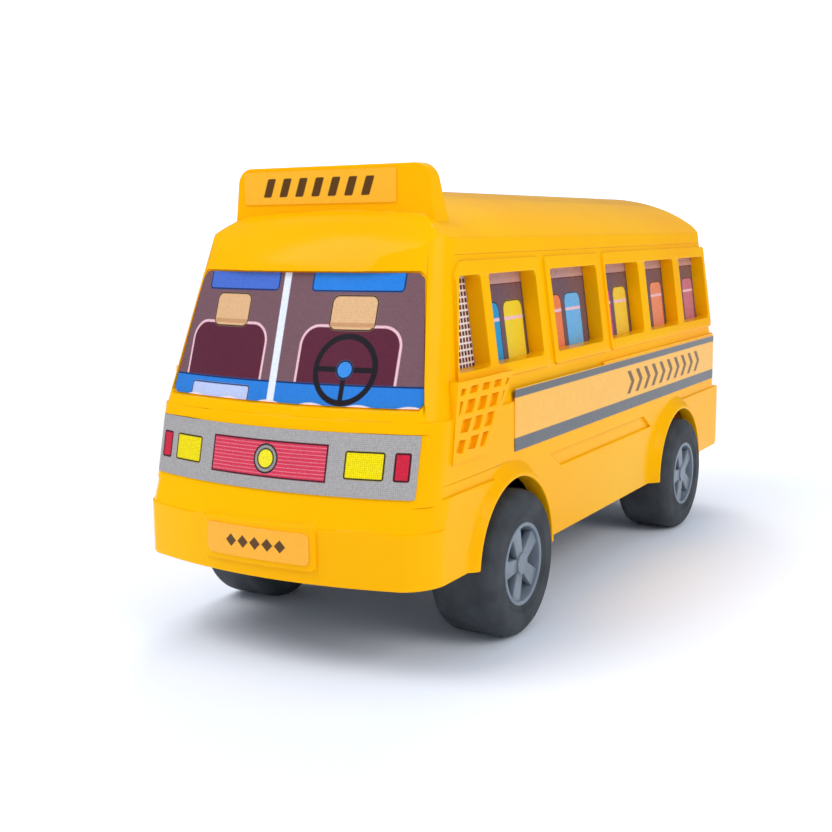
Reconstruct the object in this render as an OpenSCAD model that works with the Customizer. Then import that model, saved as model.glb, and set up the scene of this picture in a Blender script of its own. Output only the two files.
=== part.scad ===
// Toy bus: a moulded body shell with stickers and printed cards, on a chassis plate with
// four tyred wheels on two steel axles and a flywheel friction drive on the rear axle.
// The ground is z = 0, the front faces -Y and the bus's left side is +X. Millimetres.

/* [Body] */
// Length from the number plate to the rear bumper
body_l = 169.4; // [166:0.2:174]
// Width over the flat lower sides
body_w = 60.4; // [58.4:0.2:64]
// Wall of the lower body, the front and the rear
wall = 1.8; // [1.5:0.1:2.2]
// Depth of the window reveals in the sides
reveal = 2.8; // [2:0.1:3.4]
// Lower edge of the skirt above the axle centres
skirt_rise = 0.6; // [0.2:0.1:1.6]
// Height of the belt line, where the sides start to lean in, above the skirt
belt_h = 32.2; // [32:0.1:32.8]
// Height of the roof gutter above the skirt
gutter_h = 56.4; // [56:0.1:57]
// Height of the roof crown above the skirt
roof_h = 68.5; // [68:0.1:69]
// Lean of the window band, in degrees
tumblehome = 7.5; // [6:0.5:8.5]
// Radius of the arched roof
roof_r = 40; // [38:0.5:46]
// How far the bumpers stand out of the sides
bumper_side = 0.6; // [0.4:0.1:1]

/* [Windows] */
// Height of the window sills above the belt line
window_sill_h = 4.4; // [4:0.1:4.8]
// Height of the window openings
window_h = 16.2; // [15:0.1:16.4]
// Width of the first pane, behind the mesh window
pane_1_w = 19.6; // [17:0.1:20.4]
// Width of the second pane
pane_2_w = 24.1; // [22:0.1:25]
// Number of rear panes
rear_panes = 3; // [2:1:4]
// Width of the pillars between the rear panes
pillar_w = 4.6; // [3.6:0.1:6]
// How far the window frames stand out of the band
frame_proud = 0.6; // [0.4:0.1:0.8]
// Thickness of the printed cards in the windows
print_t = 0.3; // [0.2:0.05:0.5]

/* [Front and rear] */
// Radius of the bowed bumper and grille face, in plan
face_bow_r = 92; // [84:1:110]
// Radius of the bowed cab front, in plan
cab_bow_r = 100; // [92:1:120]
// Height of the front bumper's upright band above the skirt
bumper_h = 11.6; // [11:0.1:12.4]
// How much higher than the skirt the front bumper ends
bumper_lift = 1.9; // [1.4:0.1:2.4]
// Height of the foot of the grille face above the skirt
shoulder_h = 16.6; // [16:0.1:17]
// Height of the windscreen sill above the skirt
sill_h = 29.4; // [29:0.1:29.9]
// Lean of the grille face, in degrees
face_lean = 13; // [11:0.5:15]
// Lean of the cab front, in degrees
cab_lean = 18.5; // [17:0.5:19.5]
// Depth of the windscreen recess
screen_recess = 1.2; // [0.8:0.1:1.3]
// Width of the destination sign box at its foot
sign_w = 43.8; // [41:0.2:46]
// Height of the sign box above the roof crown
sign_rise = 3.8; // [3:0.1:5]
// How far the rear bumper stands out of the rear wall
rear_bumper_d = 2.6; // [2:0.1:3.2]
// Lean of the rear wall, in degrees
rear_lean = 3; // [2:0.5:4]

/* [Stickers] */
// Thickness of the stickers
sticker_t = 0.2; // [0.15:0.05:0.3]
// How far the number plate stands out of the bumper
plate_proud = 0.5; // [0.3:0.1:0.8]
// Width of the number plate
plate_w = 23.8; // [21:0.2:26]
// Height of the side stripe
stripe_h = 11.7; // [10.5:0.1:11.9]
// Width of the grille sticker
grille_w = 55.2; // [52:0.2:56]

/* [Wheels] */
// Distance between the axles
wheelbase = 94.2; // [92:0.2:96]
// Front bumper to front axle
front_overhang = 37.2; // [36.4:0.1:38.4]
// Radius of a tyre
tyre_r = 13.8; // [13.2:0.1:14.4]
// Width of a tyre
tyre_w = 13.5; // [12.5:0.1:14.5]
// Radius of a hub's rim
hub_r = 7.8; // [7.2:0.1:8.4]
// Number of hub spokes
spokes = 5; // [4:1:6]
// How far the tyres stand out past the flat sides
wheel_proud = 3; // [2.4:0.1:3.6]
// Radial room between a tyre and its wheel arch
arch_gap = 1.4; // [1.3:0.1:2]
// How far the wheel-arch flares stand out of the sides
flare = 2; // [1.4:0.1:2.4]
// Diameter of the steel axles
axle_d = 3; // [2.6:0.1:3.4]

/* [Chassis and drive] */
// Thickness of the chassis plate
plate_t = 1.8; // [1.5:0.1:2.4]
// Distance of the chassis screws from the centre line
boss_x = 15; // [13:0.5:17]
// Gear module
gear_m = 0.5; // [0.48:0.01:0.54]
// Teeth of the large gears
gear_teeth = 24; // [22:1:27]
// Teeth of the pinions
pinion_teeth = 12; // [11:1:14]
// Width of the gear faces
gear_w = 2.4; // [2:0.1:3]
// Radius of the flywheel
flywheel_r = 6.8; // [6:0.1:7]
// Width of the flywheel
flywheel_w = 6; // [4:0.1:7]
// Diameter of the counter and flywheel shafts
shaft_d = 2; // [1.6:0.1:2.2]
// Wall of the motor case
case_wall = 1.2; // [1:0.1:1.6]

/* [Hidden] */
$fn = 96;
WHEELS = ["front_left", "front_right", "rear_left", "rear_right"];

yellow = "#ffbe00";
dark_plastic = "#3a3d42";
rubber_grey = "#3c3e42";
hub_grey = "#85898e";
steel = "#c4c6c8";
gear_white = "#e8e4d8";
print_mauve = "#8a6a70";
sticker_orange = "#ffbe50";
sticker_silver = "#a8a29c";

// Clearances and shared small sizes
run_gap = 0.05;
press_gap = 0.02;
seat_gap = 0.2;
side_play = 0.4;
over = 1;
// How far the ends reach past the sides, which then trim them
spare = 0.03;
far = 200;

// Levels above the ground
axle_z = tyre_r;
skirt_z = axle_z + skirt_rise;
front_skirt_z = skirt_z + bumper_lift;
rear_skirt_z = skirt_z + 1.4;
bumper_z = skirt_z + bumper_h;
shoulder_z = skirt_z + shoulder_h;
sill_z = skirt_z + sill_h;
belt_z = skirt_z + belt_h;
gutter_z = skirt_z + gutter_h;
roof_z = skirt_z + roof_h;
sign_z = roof_z + sign_rise;
window_z = belt_z + window_sill_h;
window_top_z = window_z + window_h;

// Places along and across the bus
front_y = -body_l / 2 + plate_proud + sticker_t;
rear_y = body_l / 2;
rear_wall_y = rear_y - rear_bumper_d;
front_axle_y = front_y + front_overhang;
rear_axle_y = front_axle_y + wheelbase;
side_x = body_w / 2;

// Form of the body
belt_step = 0.9;
bumper_step = 2;
cab_step = 0.4;
bumper_corner_r = 8.5;
face_corner_r = 6;
cab_corner_r = 6.3;
rear_corner_r = 4;
bumper_edge_r = 3.2;
ledge_in = 0.15;
ledge_lean = atan((bumper_step - ledge_in) / (shoulder_z - bumper_z));
gutter_proud = 0.9;
brow_r = 17;
brow_h = 65;
rear_roof_r = 9;

// Setback of the faces behind the bumper, on the centre line
sill_in = bumper_step + (sill_z - shoulder_z) * tan(face_lean);
cab_in = sill_in + cab_step;
brow_z = skirt_z + brow_h;
brow_in = cab_in + (brow_z - sill_z) * tan(cab_lean);

// Destination sign: place, depths at its foot and top, and its sticker
sign_setback = 24.4;
sign_y = front_y + sign_setback;
sign_foot_z = brow_z - 4;
sign_d = 5.4;
sign_top_d = 2.6;
sign_top_w = sign_w - 2.6;
sign_r = 3;
sign_sticker_z = brow_z + 0.6;
sign_sticker_top = sign_z - 0.7;
sign_sticker_x = -sign_w / 2 + 2.6;
sign_sticker_w = 33.4;

// Windscreen outline, half widths at its foot and top
screen_z = sill_z + 1.7;
screen_top_z = gutter_z - 2.6;
screen_foot = side_x - 2.9;
screen_top = side_x - 6.3;
screen_cut = 0.9;
screen_edge = 0.3;

// Windows of the side band, measured from the bumper
mesh_front = 19;
mesh_front_top = 23.2;
mesh_back = 31;
mesh_pillar = 3.2;
pane_1_y = front_y + mesh_back + mesh_pillar;
pane_r = 0.8;
frame_1_y = front_y + 18.3;
frame_1_top_y = front_y + 22.1;
frame_gap = 2.4;
frame_edge = 2.6;
frame_z = belt_z + 2;
frame_top_z = gutter_z - 1;
frame_r = 1;
pane_1_end = pane_1_y + pane_1_w;
frame_2_y = pane_1_end + frame_edge + frame_gap;
frame_lead = 2;
pane_2_y = frame_2_y + frame_lead;
pane_2_end = pane_2_y + pane_2_w;
frame_2_end = pane_2_end + frame_edge;
frame_3_y = frame_2_end + frame_gap - 0.6;
rear_pane_y = frame_3_y + 1;
rear_pane_end = rear_wall_y - 5.2;
rear_pane_w = (rear_pane_end - rear_pane_y - (rear_panes - 1) * pillar_w) / rear_panes;
card_z = window_z - 1.4;
card_top_z = window_top_z + 1.4;

// Rear window and rear lamps
rear_window_w = 42;
rear_window_r = 3;
rear_recess = 0.8;
rear_lamp_r = 3;
rear_lamp_x = side_x - 7;
rear_lamp_z = shoulder_z + 6;
rear_lamp_h = 1;

// Lattice panel beside the cab
lattice_proud = 0.5;
lattice_depth = 1.1;
lattice_rows = 4;
lattice_columns = 7;
lattice_pitch = 4.5;
lattice_row_pitch = 3.25;
lattice_hole_w = 2.7;
lattice_hole_h = 2.2;
lattice_lean = 0.55;
lattice_margin = 1.1;
lattice_z = sill_z - 7.6;
lattice_top_z = belt_z + 3.2;
lattice_front = front_y + 14;
lattice_foot_back = front_y + 26.6;
lattice_top_front = front_y + 16;
lattice_top_back = front_y + 37.5;

// Channel along the lower side, between the arches
channel_z = skirt_z + 13.8;
channel_h = 3;
channel_d = 0.7;
channel_slant = 5;

// Side stripe and grille sticker
stripe_lead = 1.3;
stripe_y = front_axle_y + stripe_lead;
stripe_z = skirt_z + 20;
stripe_end = rear_wall_y - rear_corner_r;
grille_z = shoulder_z + 0.4;
grille_h = 10.4;
plate_z = front_skirt_z + 2.3;
plate_h = 7.7;
plate_edge = 1.1;

// Wheel arches
arch_r = tyre_r + arch_gap;
arch_lead = 0.8;
arch_rise = 1.2;
flare_w = 2.8;
flare_lip = 0.7;

// Wheels: axle rod, hub and tyre
axle_r = axle_d / 2;
wheel_x = side_x + wheel_proud;
tyre_in_x = wheel_x - tyre_w;
tyre_shoulder = 2.4;
hub_nose = 1;
hub_nose_r = axle_r + 1.6;
hub_sink = 0.3;
rim_t = 0.8;
dish_d = 2.4;
spoke_sink = 0.5;
spoke_w = 3;
first_spoke = -90;
hub_cap_r = 2.4;
hub_floor = 3.4;
axle_half = wheel_x - hub_sink - hub_floor;

// Chassis plate, its lugs, bosses and screws
chassis_z = front_skirt_z + 0.3;
chassis_top = chassis_z + plate_t;
chassis_half = side_x - wall - seat_gap;
notch_x = tyre_in_x - 1;
lug_x = tyre_in_x - hub_nose - side_play;
lug_t = 3;
lug_r = axle_r + 2;
boss_r = 3;
screw_r = 1;
screw_head_r = 2;
screw_head_h = 1.3;
screw_bite = 8;
front_boss_rise = 2;
rear_boss_rise = 8;
rib_t = 1.4;
front_boss_y = bow_y(face_bow_r, front_y, boss_x) + wall + boss_r + 1.5;
rear_boss_y = rear_wall_y - wall - boss_r + 0.6;

// Friction drive: gear train, stacked from the right wall of its case
shaft_r = shaft_d / 2;
gear_pitch_r = gear_m * gear_teeth / 2;
pinion_pitch_r = gear_m * pinion_teeth / 2;
addendum = 0.8 * gear_m;
dedendum = 1.05 * gear_m;
pressure = 25;
tooth_thinning = 0.08;
mesh_slack = 0.04;
mesh_d = gear_pitch_r + pinion_pitch_r + mesh_slack;
mesh_rise = 20;
stack_gap = 0.6;
case_in = (2 * gear_w + flywheel_w + 4 * stack_gap) / 2;
case_out = case_in + case_wall;
stage_1_x = -case_in + stack_gap;
stage_2_x = stage_1_x + gear_w + stack_gap;
flywheel_x = stage_2_x + gear_w + stack_gap;
counter_y = rear_axle_y - mesh_d * cos(mesh_rise);
counter_z = axle_z + mesh_d * sin(mesh_rise);
flywheel_y = counter_y - mesh_d * cos(mesh_rise);
flywheel_z = counter_z + mesh_d * sin(mesh_rise);
sleeve_wall = 0.6;
case_gap = 0.6;
gear_room = gear_pitch_r + addendum + case_gap + case_wall;
flywheel_room = flywheel_r + case_gap + case_wall;
case_front = flywheel_y - flywheel_room;
case_back = rear_axle_y + gear_room;
case_foot = axle_z - gear_room;
case_top = flywheel_z + flywheel_room;
case_r = 4;
case_boss_r = 2.2;
case_boss_in = 4;
ear_l = 7;
ear_t = 2;
ear_x = case_out / 2 + 0.4;
ear_boss_h = 1.6;

function side_lean(z) = max(0, z - belt_z) * tan(tumblehome);
// Where a bow of radius r, its crown at y, meets the plane x
function bow_y(r, y, x) = y + r - sqrt(r * r - x * x);

// Corner i of a closed outline of [x, y, radius] points: unit vectors to its neighbours
function to_prev(p, i) = let (v = p[(i + len(p) - 1) % len(p)] - p[i], d = [v.x, v.y]) d / norm(d);
function to_next(p, i) = let (v = p[(i + 1) % len(p)] - p[i], d = [v.x, v.y]) d / norm(d);
function turn(p, i) = cross(-to_prev(p, i), to_next(p, i));

// The sliver between a corner and its arc
module corner_sliver(p, i) {
    a = to_prev(p, i);
    b = to_next(p, i);
    half = acos(a * b) / 2;
    r = p[i].z;
    at = [p[i].x, p[i].y];
    centre = at + (a + b) / norm(a + b) * r / sin(half);
    reach = r / tan(half);
    difference() {
        polygon([at + a * reach, centre, at + b * reach, at + (at - centre) * 0.3]);
        translate(centre) circle(r);
    }
}

// Outline of [x, y, radius] points, counter-clockwise, with true arcs at its corners
module arc_polygon(p) {
    difference() {
        union() {
            polygon([for (q = p) [q.x, q.y]]);
            for (i = [0:len(p) - 1]) if (p[i].z > 0 && turn(p, i) < 0) corner_sliver(p, i);
        }
        for (i = [0:len(p) - 1]) if (p[i].z > 0 && turn(p, i) > 0) corner_sliver(p, i);
    }
}

// Rectangle with its lower corner at a, its upper corner at b and rounded corners
module arc_rect(a, b, r) {
    arc_polygon([[a.x, a.y, r], [b.x, a.y, r], [b.x, b.y, r], [a.x, b.y, r]]);
}

// Solid of an outline in (y, z), drawn across the bus
module across(x1 = -far, x2 = far) {
    translate([x1, 0, 0]) rotate([90, 0, 90]) linear_extrude(x2 - x1) children();
}

// Solid of an outline in (x, z), drawn along the bus
module along(y1 = -far, y2 = far) {
    translate([0, y2, 0]) rotate([90, 0, 0]) linear_extrude(y2 - y1) children();
}

// A shape and its mirror image on the other side of the bus
module on_both_sides() {
    children();
    mirror([1, 0, 0]) children();
}

// What a shape and its mirror image share
module both_sides() {
    intersection() {
        children();
        mirror([1, 0, 0]) children();
    }
}

module ahead_of(y) {
    intersection() {
        children();
        translate([-far, y - 2 * far, -far]) cube([2 * far, 2 * far, 2 * far]);
    }
}

// Front-view outline: sides moved in by low, window band by band, roof by top
module section_outline(low, band, top) {
    x = side_x - low;
    band_x = side_x - belt_step - band;
    high_x = band_x - side_lean(gutter_z + over);
    lip_x = band_x - side_lean(gutter_z) + gutter_proud;
    foot = skirt_z - (low > 0 ? far : 0);
    translate([-x, foot]) square([2 * x, belt_z - foot]);
    polygon([[-band_x, belt_z - over], [band_x, belt_z - over], [band_x, belt_z], [high_x, gutter_z + over],
        [-high_x, gutter_z + over], [-band_x, belt_z]]);
    intersection() {
        translate([0, roof_z - roof_r]) circle(roof_r - top);
        translate([-lip_x, gutter_z]) square([2 * lip_x, far]);
    }
}

// Slice of the window band's sides between two depths
module band_slice(outer, inner) {
    difference() {
        section_outline(0, outer, 0);
        section_outline(-over, inner, -over);
    }
}

// Keeps what lies inside a rounded upright corner at +X, -Y, leaning back and in
module corner_keep(x, y, z, turn_in, r, lean, tumble) {
    translate([x, y, z]) rotate([-lean, -tumble, 0]) linear_extrude(2 * far, center = true)
        arc_polygon([[0, 0, r], [0, 2 * far, 0], [-2 * far, 2 * far, 0], [-2 * far, -2 * far * tan(turn_in), 0]]);
}

// Solid of revolution about a bow's upright axis; its outline is drawn in (radius, z)
module bowed(r, y) {
    translate([0, y + r, 0]) rotate_extrude() children();
}

// Plan of a front end: a bow of radius r, its crown at the origin, between sides at x with corners of radius c
module plan_outline(x, r, c) {
    y = bow_y(r, 0, x);
    intersection() {
        translate([0, r]) circle(r);
        arc_polygon([[x, y, c], [x, far, 0], [-x, far, 0], [-x, y, c], [0, y - x * x / sqrt(r * r - x * x), 0]]);
    }
}

// Front end whose bowed face leans back from its crown at y, z, kept between two levels
module leaning_front(y, z, lean, x, r, c, low, high) {
    intersection() {
        translate([0, y, z]) rotate([-lean, 0, 0]) linear_extrude(2 * far, center = true) plan_outline(x, r, c);
        translate([-far, -far, low]) cube([2 * far, far, high - low]);
    }
}

// Front bumper band and its ledge, moved in by t; open below when it is the hollow
module bumper_front(t) {
    x = side_x + bumper_side - t + spare;
    r = face_bow_r - t;
    c = bumper_corner_r - t;
    y = front_y + t;
    foot = t > 0 ? skirt_z - far : front_skirt_z;
    leaning_front(y, bumper_z, 0, x, r, c, foot, bumper_z - t);
    leaning_front(y + ledge_in, bumper_z - t, ledge_lean, x, r, c, bumper_z - t, shoulder_z - t);
}

// Leaning grille face, moved in by t
module grille_front(t) {
    leaning_front(front_y + bumper_step + t, shoulder_z - t, face_lean, side_x - t + spare, face_bow_r - bumper_step - t,
        face_corner_r - t, shoulder_z - over - t, sill_z - t);
}

// Cab front, from the sill over the brow to the roof behind the sign, moved in by t
module cab_front(t) {
    x = side_x - belt_step - t + spare;
    r = cab_bow_r - t;
    y = front_y + cab_in + t;
    foot = sill_z - 2 * over - t;
    brow_at = r - (brow_in - cab_in);
    roof_at = r - (sign_y + over - y);
    belt_y = bow_y(r, y, x) + (belt_z - sill_z) * tan(cab_lean);
    intersection() {
        bowed(r, y) {
            arc_polygon([[0, foot, 0], [r - (foot - sill_z) * tan(cab_lean), foot, 0], [brow_at, brow_z, brow_r - t],
                [0, brow_z, 0]]);
            translate([0, foot]) square([roof_at, roof_z + 2 * over - foot]);
        }
        both_sides() corner_keep(x, belt_y, belt_z, asin(x / r), cab_corner_r - t, cab_lean, tumblehome);
    }
}

// Lower half behind the front wheels, up to the belt, with the rear wall, moved in by t
module rear_lower(t) {
    y = rear_wall_y - t;
    foot = t > 0 ? skirt_z - far : skirt_z - over;
    rear_foot = t > 0 ? foot : rear_skirt_z;
    belt_y = y - (belt_z - shoulder_z) * tan(rear_lean);
    intersection() {
        across() polygon([[front_axle_y, foot], [rear_axle_y, foot], [rear_axle_y, rear_foot], [y, rear_foot],
            [y, shoulder_z], [belt_y, belt_z], [-over, belt_z], [-over, bumper_z], [front_axle_y, bumper_z]]);
        mirror([0, 1, 0]) both_sides()
            corner_keep(side_x - t + spare, -y, shoulder_z, 0, rear_corner_r - t, rear_lean, 0);
    }
}

// Upper half behind the cab, under the rounded end of the roof, moved in by t
module rear_upper(t) {
    y = rear_wall_y - t;
    foot = belt_z - 2 * over;
    top_z = roof_z + over - t;
    x = side_x - belt_step - t + spare;
    belt_y = y - (belt_z - shoulder_z) * tan(rear_lean);
    intersection() {
        across() arc_polygon([[-over, foot, 0], [y - (foot - shoulder_z) * tan(rear_lean), foot, 0],
            [y - (top_z - shoulder_z) * tan(rear_lean), top_z, rear_roof_r - t], [-over, top_z, 0]]);
        mirror([0, 1, 0]) both_sides()
            corner_keep(x, -belt_y, belt_z, 0, rear_corner_r - t, rear_lean, tumblehome);
    }
}

// Rear bumper, moved in by t
module rear_bumper(t) {
    y = rear_y - t;
    foot = t > 0 ? skirt_z - far : rear_skirt_z;
    top_z = shoulder_z + over - t;
    tuck = t > 0 ? 0 : 4;
    intersection() {
        across() arc_polygon([[rear_axle_y, foot, 0], [y - tuck, foot, 0], [y, rear_skirt_z + tuck, 0],
            [y, top_z, bumper_edge_r - t], [rear_axle_y, top_z, 0]]);
        mirror([0, 1, 0]) both_sides()
            corner_keep(side_x + bumper_side - t + spare, -y, shoulder_z, 0, rear_corner_r - t, 0, 0);
    }
}

// Widening of the section for the bumpers, ahead of the front axle and behind the rear one
module bumper_room(low) {
    x = side_x + bumper_side - low;
    foot = skirt_z - (low > 0 ? far : 0);
    top = shoulder_z + 2 * over;
    translate([-x, -far, foot]) cube([2 * x, far + front_axle_y, top - foot]);
    translate([-x, rear_axle_y, foot]) cube([2 * x, far, top - foot]);
}

// The body's form, moved in by t; low and band move the sides in
module body_form(t, low, band) {
    intersection() {
        union() {
            along() section_outline(low, band, t);
            bumper_room(low);
        }
        union() {
            bumper_front(t);
            grille_front(t);
            ahead_of(0) cab_front(t);
            rear_lower(t);
            rear_upper(t);
            rear_bumper(t);
        }
    }
}

// Bowed bed that the windscreen card lies on, t behind the cab front
module screen_bed(t) {
    leaning_front(front_y + cab_in + t, sill_z, cab_lean, side_x, cab_bow_r - t, over, sill_z, roof_z);
}

// Outline of the windscreen in (x, z), its corners cut off and its edge moved in by e
module screen_outline(e) {
    c = screen_cut;
    slope = (screen_foot - screen_top) / (screen_top_z - screen_z);
    right = [[screen_foot - e - c, screen_z + e], [screen_foot - e - c * slope, screen_z + e + c],
        [screen_top - e + c * slope, screen_top_z - e - c], [screen_top - e - c, screen_top_z - e]];
    polygon(concat(right, [for (i = [3:-1:0]) [-right[i].x, right[i].y]]));
}

// Outlines of the window openings in (y, z)
module window_outlines() {
    arc_polygon([[front_y + mesh_front, window_z, pane_r], [front_y + mesh_back, window_z, pane_r],
        [front_y + mesh_back, window_top_z, pane_r], [front_y + mesh_front_top, window_top_z, pane_r]]);
    arc_rect([pane_1_y, window_z], [pane_1_end, window_top_z], pane_r);
    arc_rect([pane_2_y, window_z], [pane_2_end, window_top_z], pane_r);
    for (i = [0:rear_panes - 1]) {
        y = rear_pane_y + i * (rear_pane_w + pillar_w);
        arc_rect([y, window_z], [y + rear_pane_w, window_top_z], pane_r);
    }
}

// Raised frames round the windows: one for the mesh and first pane, one for the second, one for the rear panes
module frame_outlines() {
    arc_polygon([[frame_1_y, frame_z, frame_r], [pane_1_end + frame_edge, frame_z, frame_r],
        [pane_1_end + frame_edge, frame_top_z, frame_r], [frame_1_top_y, frame_top_z, 4 * frame_r]]);
    arc_rect([frame_2_y, frame_z], [frame_2_end, frame_top_z], frame_r);
    arc_rect([frame_3_y, frame_z], [rear_pane_end + 1.6, frame_top_z], frame_r);
}

module window_frames() {
    intersection() {
        across() frame_outlines();
        along() section_outline(0, -frame_proud, 0);
    }
}

// Outline of the lattice panel in (y, z), its edge moved in by e
module lattice_outline(e) {
    polygon([[lattice_front + e, lattice_z + e], [lattice_foot_back - 1.6 * e, lattice_z + e],
        [lattice_top_back - 1.6 * e, lattice_top_z - e], [lattice_top_front + e, lattice_top_z - e]]);
}

// Slanted holes of the lattice, in leaning columns
module lattice_holes() {
    intersection() {
        lattice_outline(lattice_margin);
        for (row = [0:lattice_rows - 1], column = [0:lattice_columns - 1]) {
            z = lattice_z + 1.5 * lattice_margin + row * lattice_row_pitch;
            y = lattice_front + (column - 1) * lattice_pitch + (z - lattice_z) * lattice_lean;
            lean = lattice_hole_h * lattice_lean;
            polygon([[y, z], [y + lattice_hole_w, z], [y + lattice_hole_w + lean, z + lattice_hole_h],
                [y + lean, z + lattice_hole_h]]);
        }
    }
}

// Recessed channel between the arches, with slanted ends
module channel_outline() {
    front = front_axle_y + arch_r + flare_w;
    back = rear_axle_y - arch_r - flare_w;
    polygon([[front + channel_slant, channel_z], [back, channel_z], [back - channel_slant, channel_z + channel_h],
        [front, channel_z + channel_h]]);
}

// Runs its children at the arch of each axle, with the arch's centre at the origin
module at_arches() {
    for (y = [front_axle_y, rear_axle_y]) translate([0, y - arch_lead, axle_z + arch_rise]) children();
}

// Flared lips of the arches, ending at the skirt
module arch_flares() {
    sunk = wall / 2;
    foot_r = arch_r + flare_w + sunk * (flare_w - flare_lip) / flare;
    intersection() {
        on_both_sides() at_arches() rotate([0, 90, 0]) rotate_extrude() polygon([[arch_r - over, side_x - sunk],
            [foot_r, side_x - sunk], [arch_r + flare_lip, side_x + flare], [arch_r - over, side_x + flare]]);
        union() {
            translate([-far, -far, front_skirt_z]) cube([2 * far, far + front_axle_y, far]);
            translate([-far, front_axle_y, skirt_z]) cube([2 * far, wheelbase, far]);
            translate([-far, rear_axle_y, rear_skirt_z]) cube([2 * far, far, far]);
        }
    }
}

module arch_cuts() {
    on_both_sides() at_arches() across(notch_x, far) {
        circle(arch_r);
        translate([-arch_r, -far]) square([2 * arch_r, far]);
    }
}

// Destination sign: a shallow wedge with rounded top corners
module sign_box(proud = 0) {
    intersection() {
        along() arc_polygon([[-sign_w / 2, sign_foot_z, 0], [sign_w / 2, sign_foot_z, 0],
            [sign_top_w / 2, sign_z, sign_r], [-sign_top_w / 2, sign_z, sign_r]]);
        across() polygon([[sign_y - proud, sign_foot_z], [sign_y + sign_d, sign_foot_z],
            [sign_y + sign_top_d, sign_z + over], [sign_y - proud, sign_z + over]]);
    }
}

module plate_outline(e) {
    arc_rect([-plate_w / 2 + e, plate_z + e], [plate_w / 2 - e, plate_z + plate_h - e], 1);
}

// Raised number plate on the bumper
module plate_relief() {
    intersection() {
        along(-far, front_y + 2 * over) plate_outline(0);
        bumper_front(-plate_proud);
    }
}

module rear_window_outline(e) {
    arc_rect([-rear_window_w / 2 + e, window_z + e], [rear_window_w / 2 - e, window_top_z - e], rear_window_r);
}

// Cuts that stop at a depth under the surface
module surface_cuts() {
    difference() {
        along(-far, front_axle_y) screen_outline(0);
        screen_bed(screen_recess);
    }
    difference() {
        along(rear_axle_y, far) rear_window_outline(0);
        rear_upper(rear_recess);
    }
    on_both_sides() across(side_x - channel_d, side_x + 0.2) channel_outline();
    on_both_sides() across(side_x + lattice_proud - lattice_depth, far) lattice_holes();
}

// Screw bosses inside the ends, each with a rib to its wall
module shell_bosses() {
    on_both_sides() {
        translate([boss_x, front_boss_y, chassis_top]) cylinder(h = shoulder_z + front_boss_rise - chassis_top,
            r = boss_r);
        translate([boss_x - rib_t / 2, front_boss_y - boss_r - 2, chassis_top])
            cube([rib_t, boss_r + 2, bumper_z - wall - chassis_top]);
        translate([boss_x, rear_boss_y, chassis_top]) cylinder(h = shoulder_z + rear_boss_rise - chassis_top,
            r = boss_r);
        translate([boss_x - rib_t / 2, rear_boss_y, chassis_top])
            cube([rib_t, rear_y - wall / 2 - rear_boss_y, shoulder_z - 2 * wall - chassis_top]);
    }
}

// Runs its children at each chassis screw
module at_chassis_screws() {
    for (x = [-boss_x, boss_x], y = [front_boss_y, rear_boss_y]) translate([x, y, 0]) children();
}

module body_shell() color(yellow) difference() {
    union() {
        difference() {
            union() {
                body_form(0, 0, 0);
                window_frames();
                across(-side_x - lattice_proud, side_x + lattice_proud) lattice_outline(0);
                arch_flares();
                sign_box();
                plate_relief();
            }
            body_form(wall, wall, reveal);
        }
        shell_bosses();
        on_both_sides() along(rear_wall_y - 2 * over, rear_wall_y + rear_lamp_h)
            translate([rear_lamp_x, rear_lamp_z]) circle(rear_lamp_r);
    }
    across() window_outlines();
    surface_cuts();
    arch_cuts();
    at_chassis_screws() translate([0, 0, chassis_top - over])
        cylinder(h = screw_bite + over, r = screw_r + press_gap);
}

// Printed card on the floor of the windscreen recess
module windscreen_print() color(print_mauve) difference() {
    intersection() {
        along(-far, front_axle_y) screen_outline(screen_edge);
        screen_bed(screen_recess - print_t);
    }
    screen_bed(screen_recess);
}

// Printed card behind the windows of the left side
module left_window_print() color(print_mauve) intersection() {
    across(0, far) arc_polygon([[front_y + mesh_front - 0.2, card_z, 0], [rear_pane_end + over, card_z, 0],
        [rear_pane_end + over, card_top_z, 0], [front_y + mesh_front_top - 0.2, card_top_z, 0]]);
    along() band_slice(reveal, reveal + print_t);
}

module right_window_print() mirror([1, 0, 0]) left_window_print();

module rear_window_print() color(print_mauve) intersection() {
    along(rear_axle_y, far) rear_window_outline(screen_edge);
    difference() {
        rear_upper(rear_recess - print_t);
        rear_upper(rear_recess);
    }
}

module sign_sticker() color(sticker_orange) along(sign_y - sticker_t, sign_y)
    arc_rect([sign_sticker_x, sign_sticker_z], [sign_sticker_x + sign_sticker_w, sign_sticker_top], 0.4);

module grille_sticker() color(sticker_silver) intersection() {
    along(-far, front_axle_y)
        arc_rect([-grille_w / 2, grille_z], [grille_w / 2, grille_z + grille_h], 0.4);
    difference() {
        grille_front(-sticker_t);
        grille_front(0);
    }
}

module plate_sticker() color(sticker_orange) intersection() {
    along(-far, front_y + 2 * over) plate_outline(plate_edge);
    difference() {
        bumper_front(-plate_proud - sticker_t);
        bumper_front(-plate_proud);
    }
}

module left_stripe_sticker() color(sticker_orange) across(side_x, side_x + sticker_t)
    arc_rect([stripe_y, stripe_z], [stripe_end, stripe_z + stripe_h], 0.4);

module right_stripe_sticker() mirror([1, 0, 0]) left_stripe_sticker();

// Axle lugs of the chassis, with bearing bores
module axle_lugs(y) {
    on_both_sides() across(lug_x - lug_t, lug_x) translate([y, axle_z]) {
        circle(lug_r);
        translate([-lug_r, 0]) square([2 * lug_r, chassis_z + over - axle_z]);
    }
}

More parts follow.
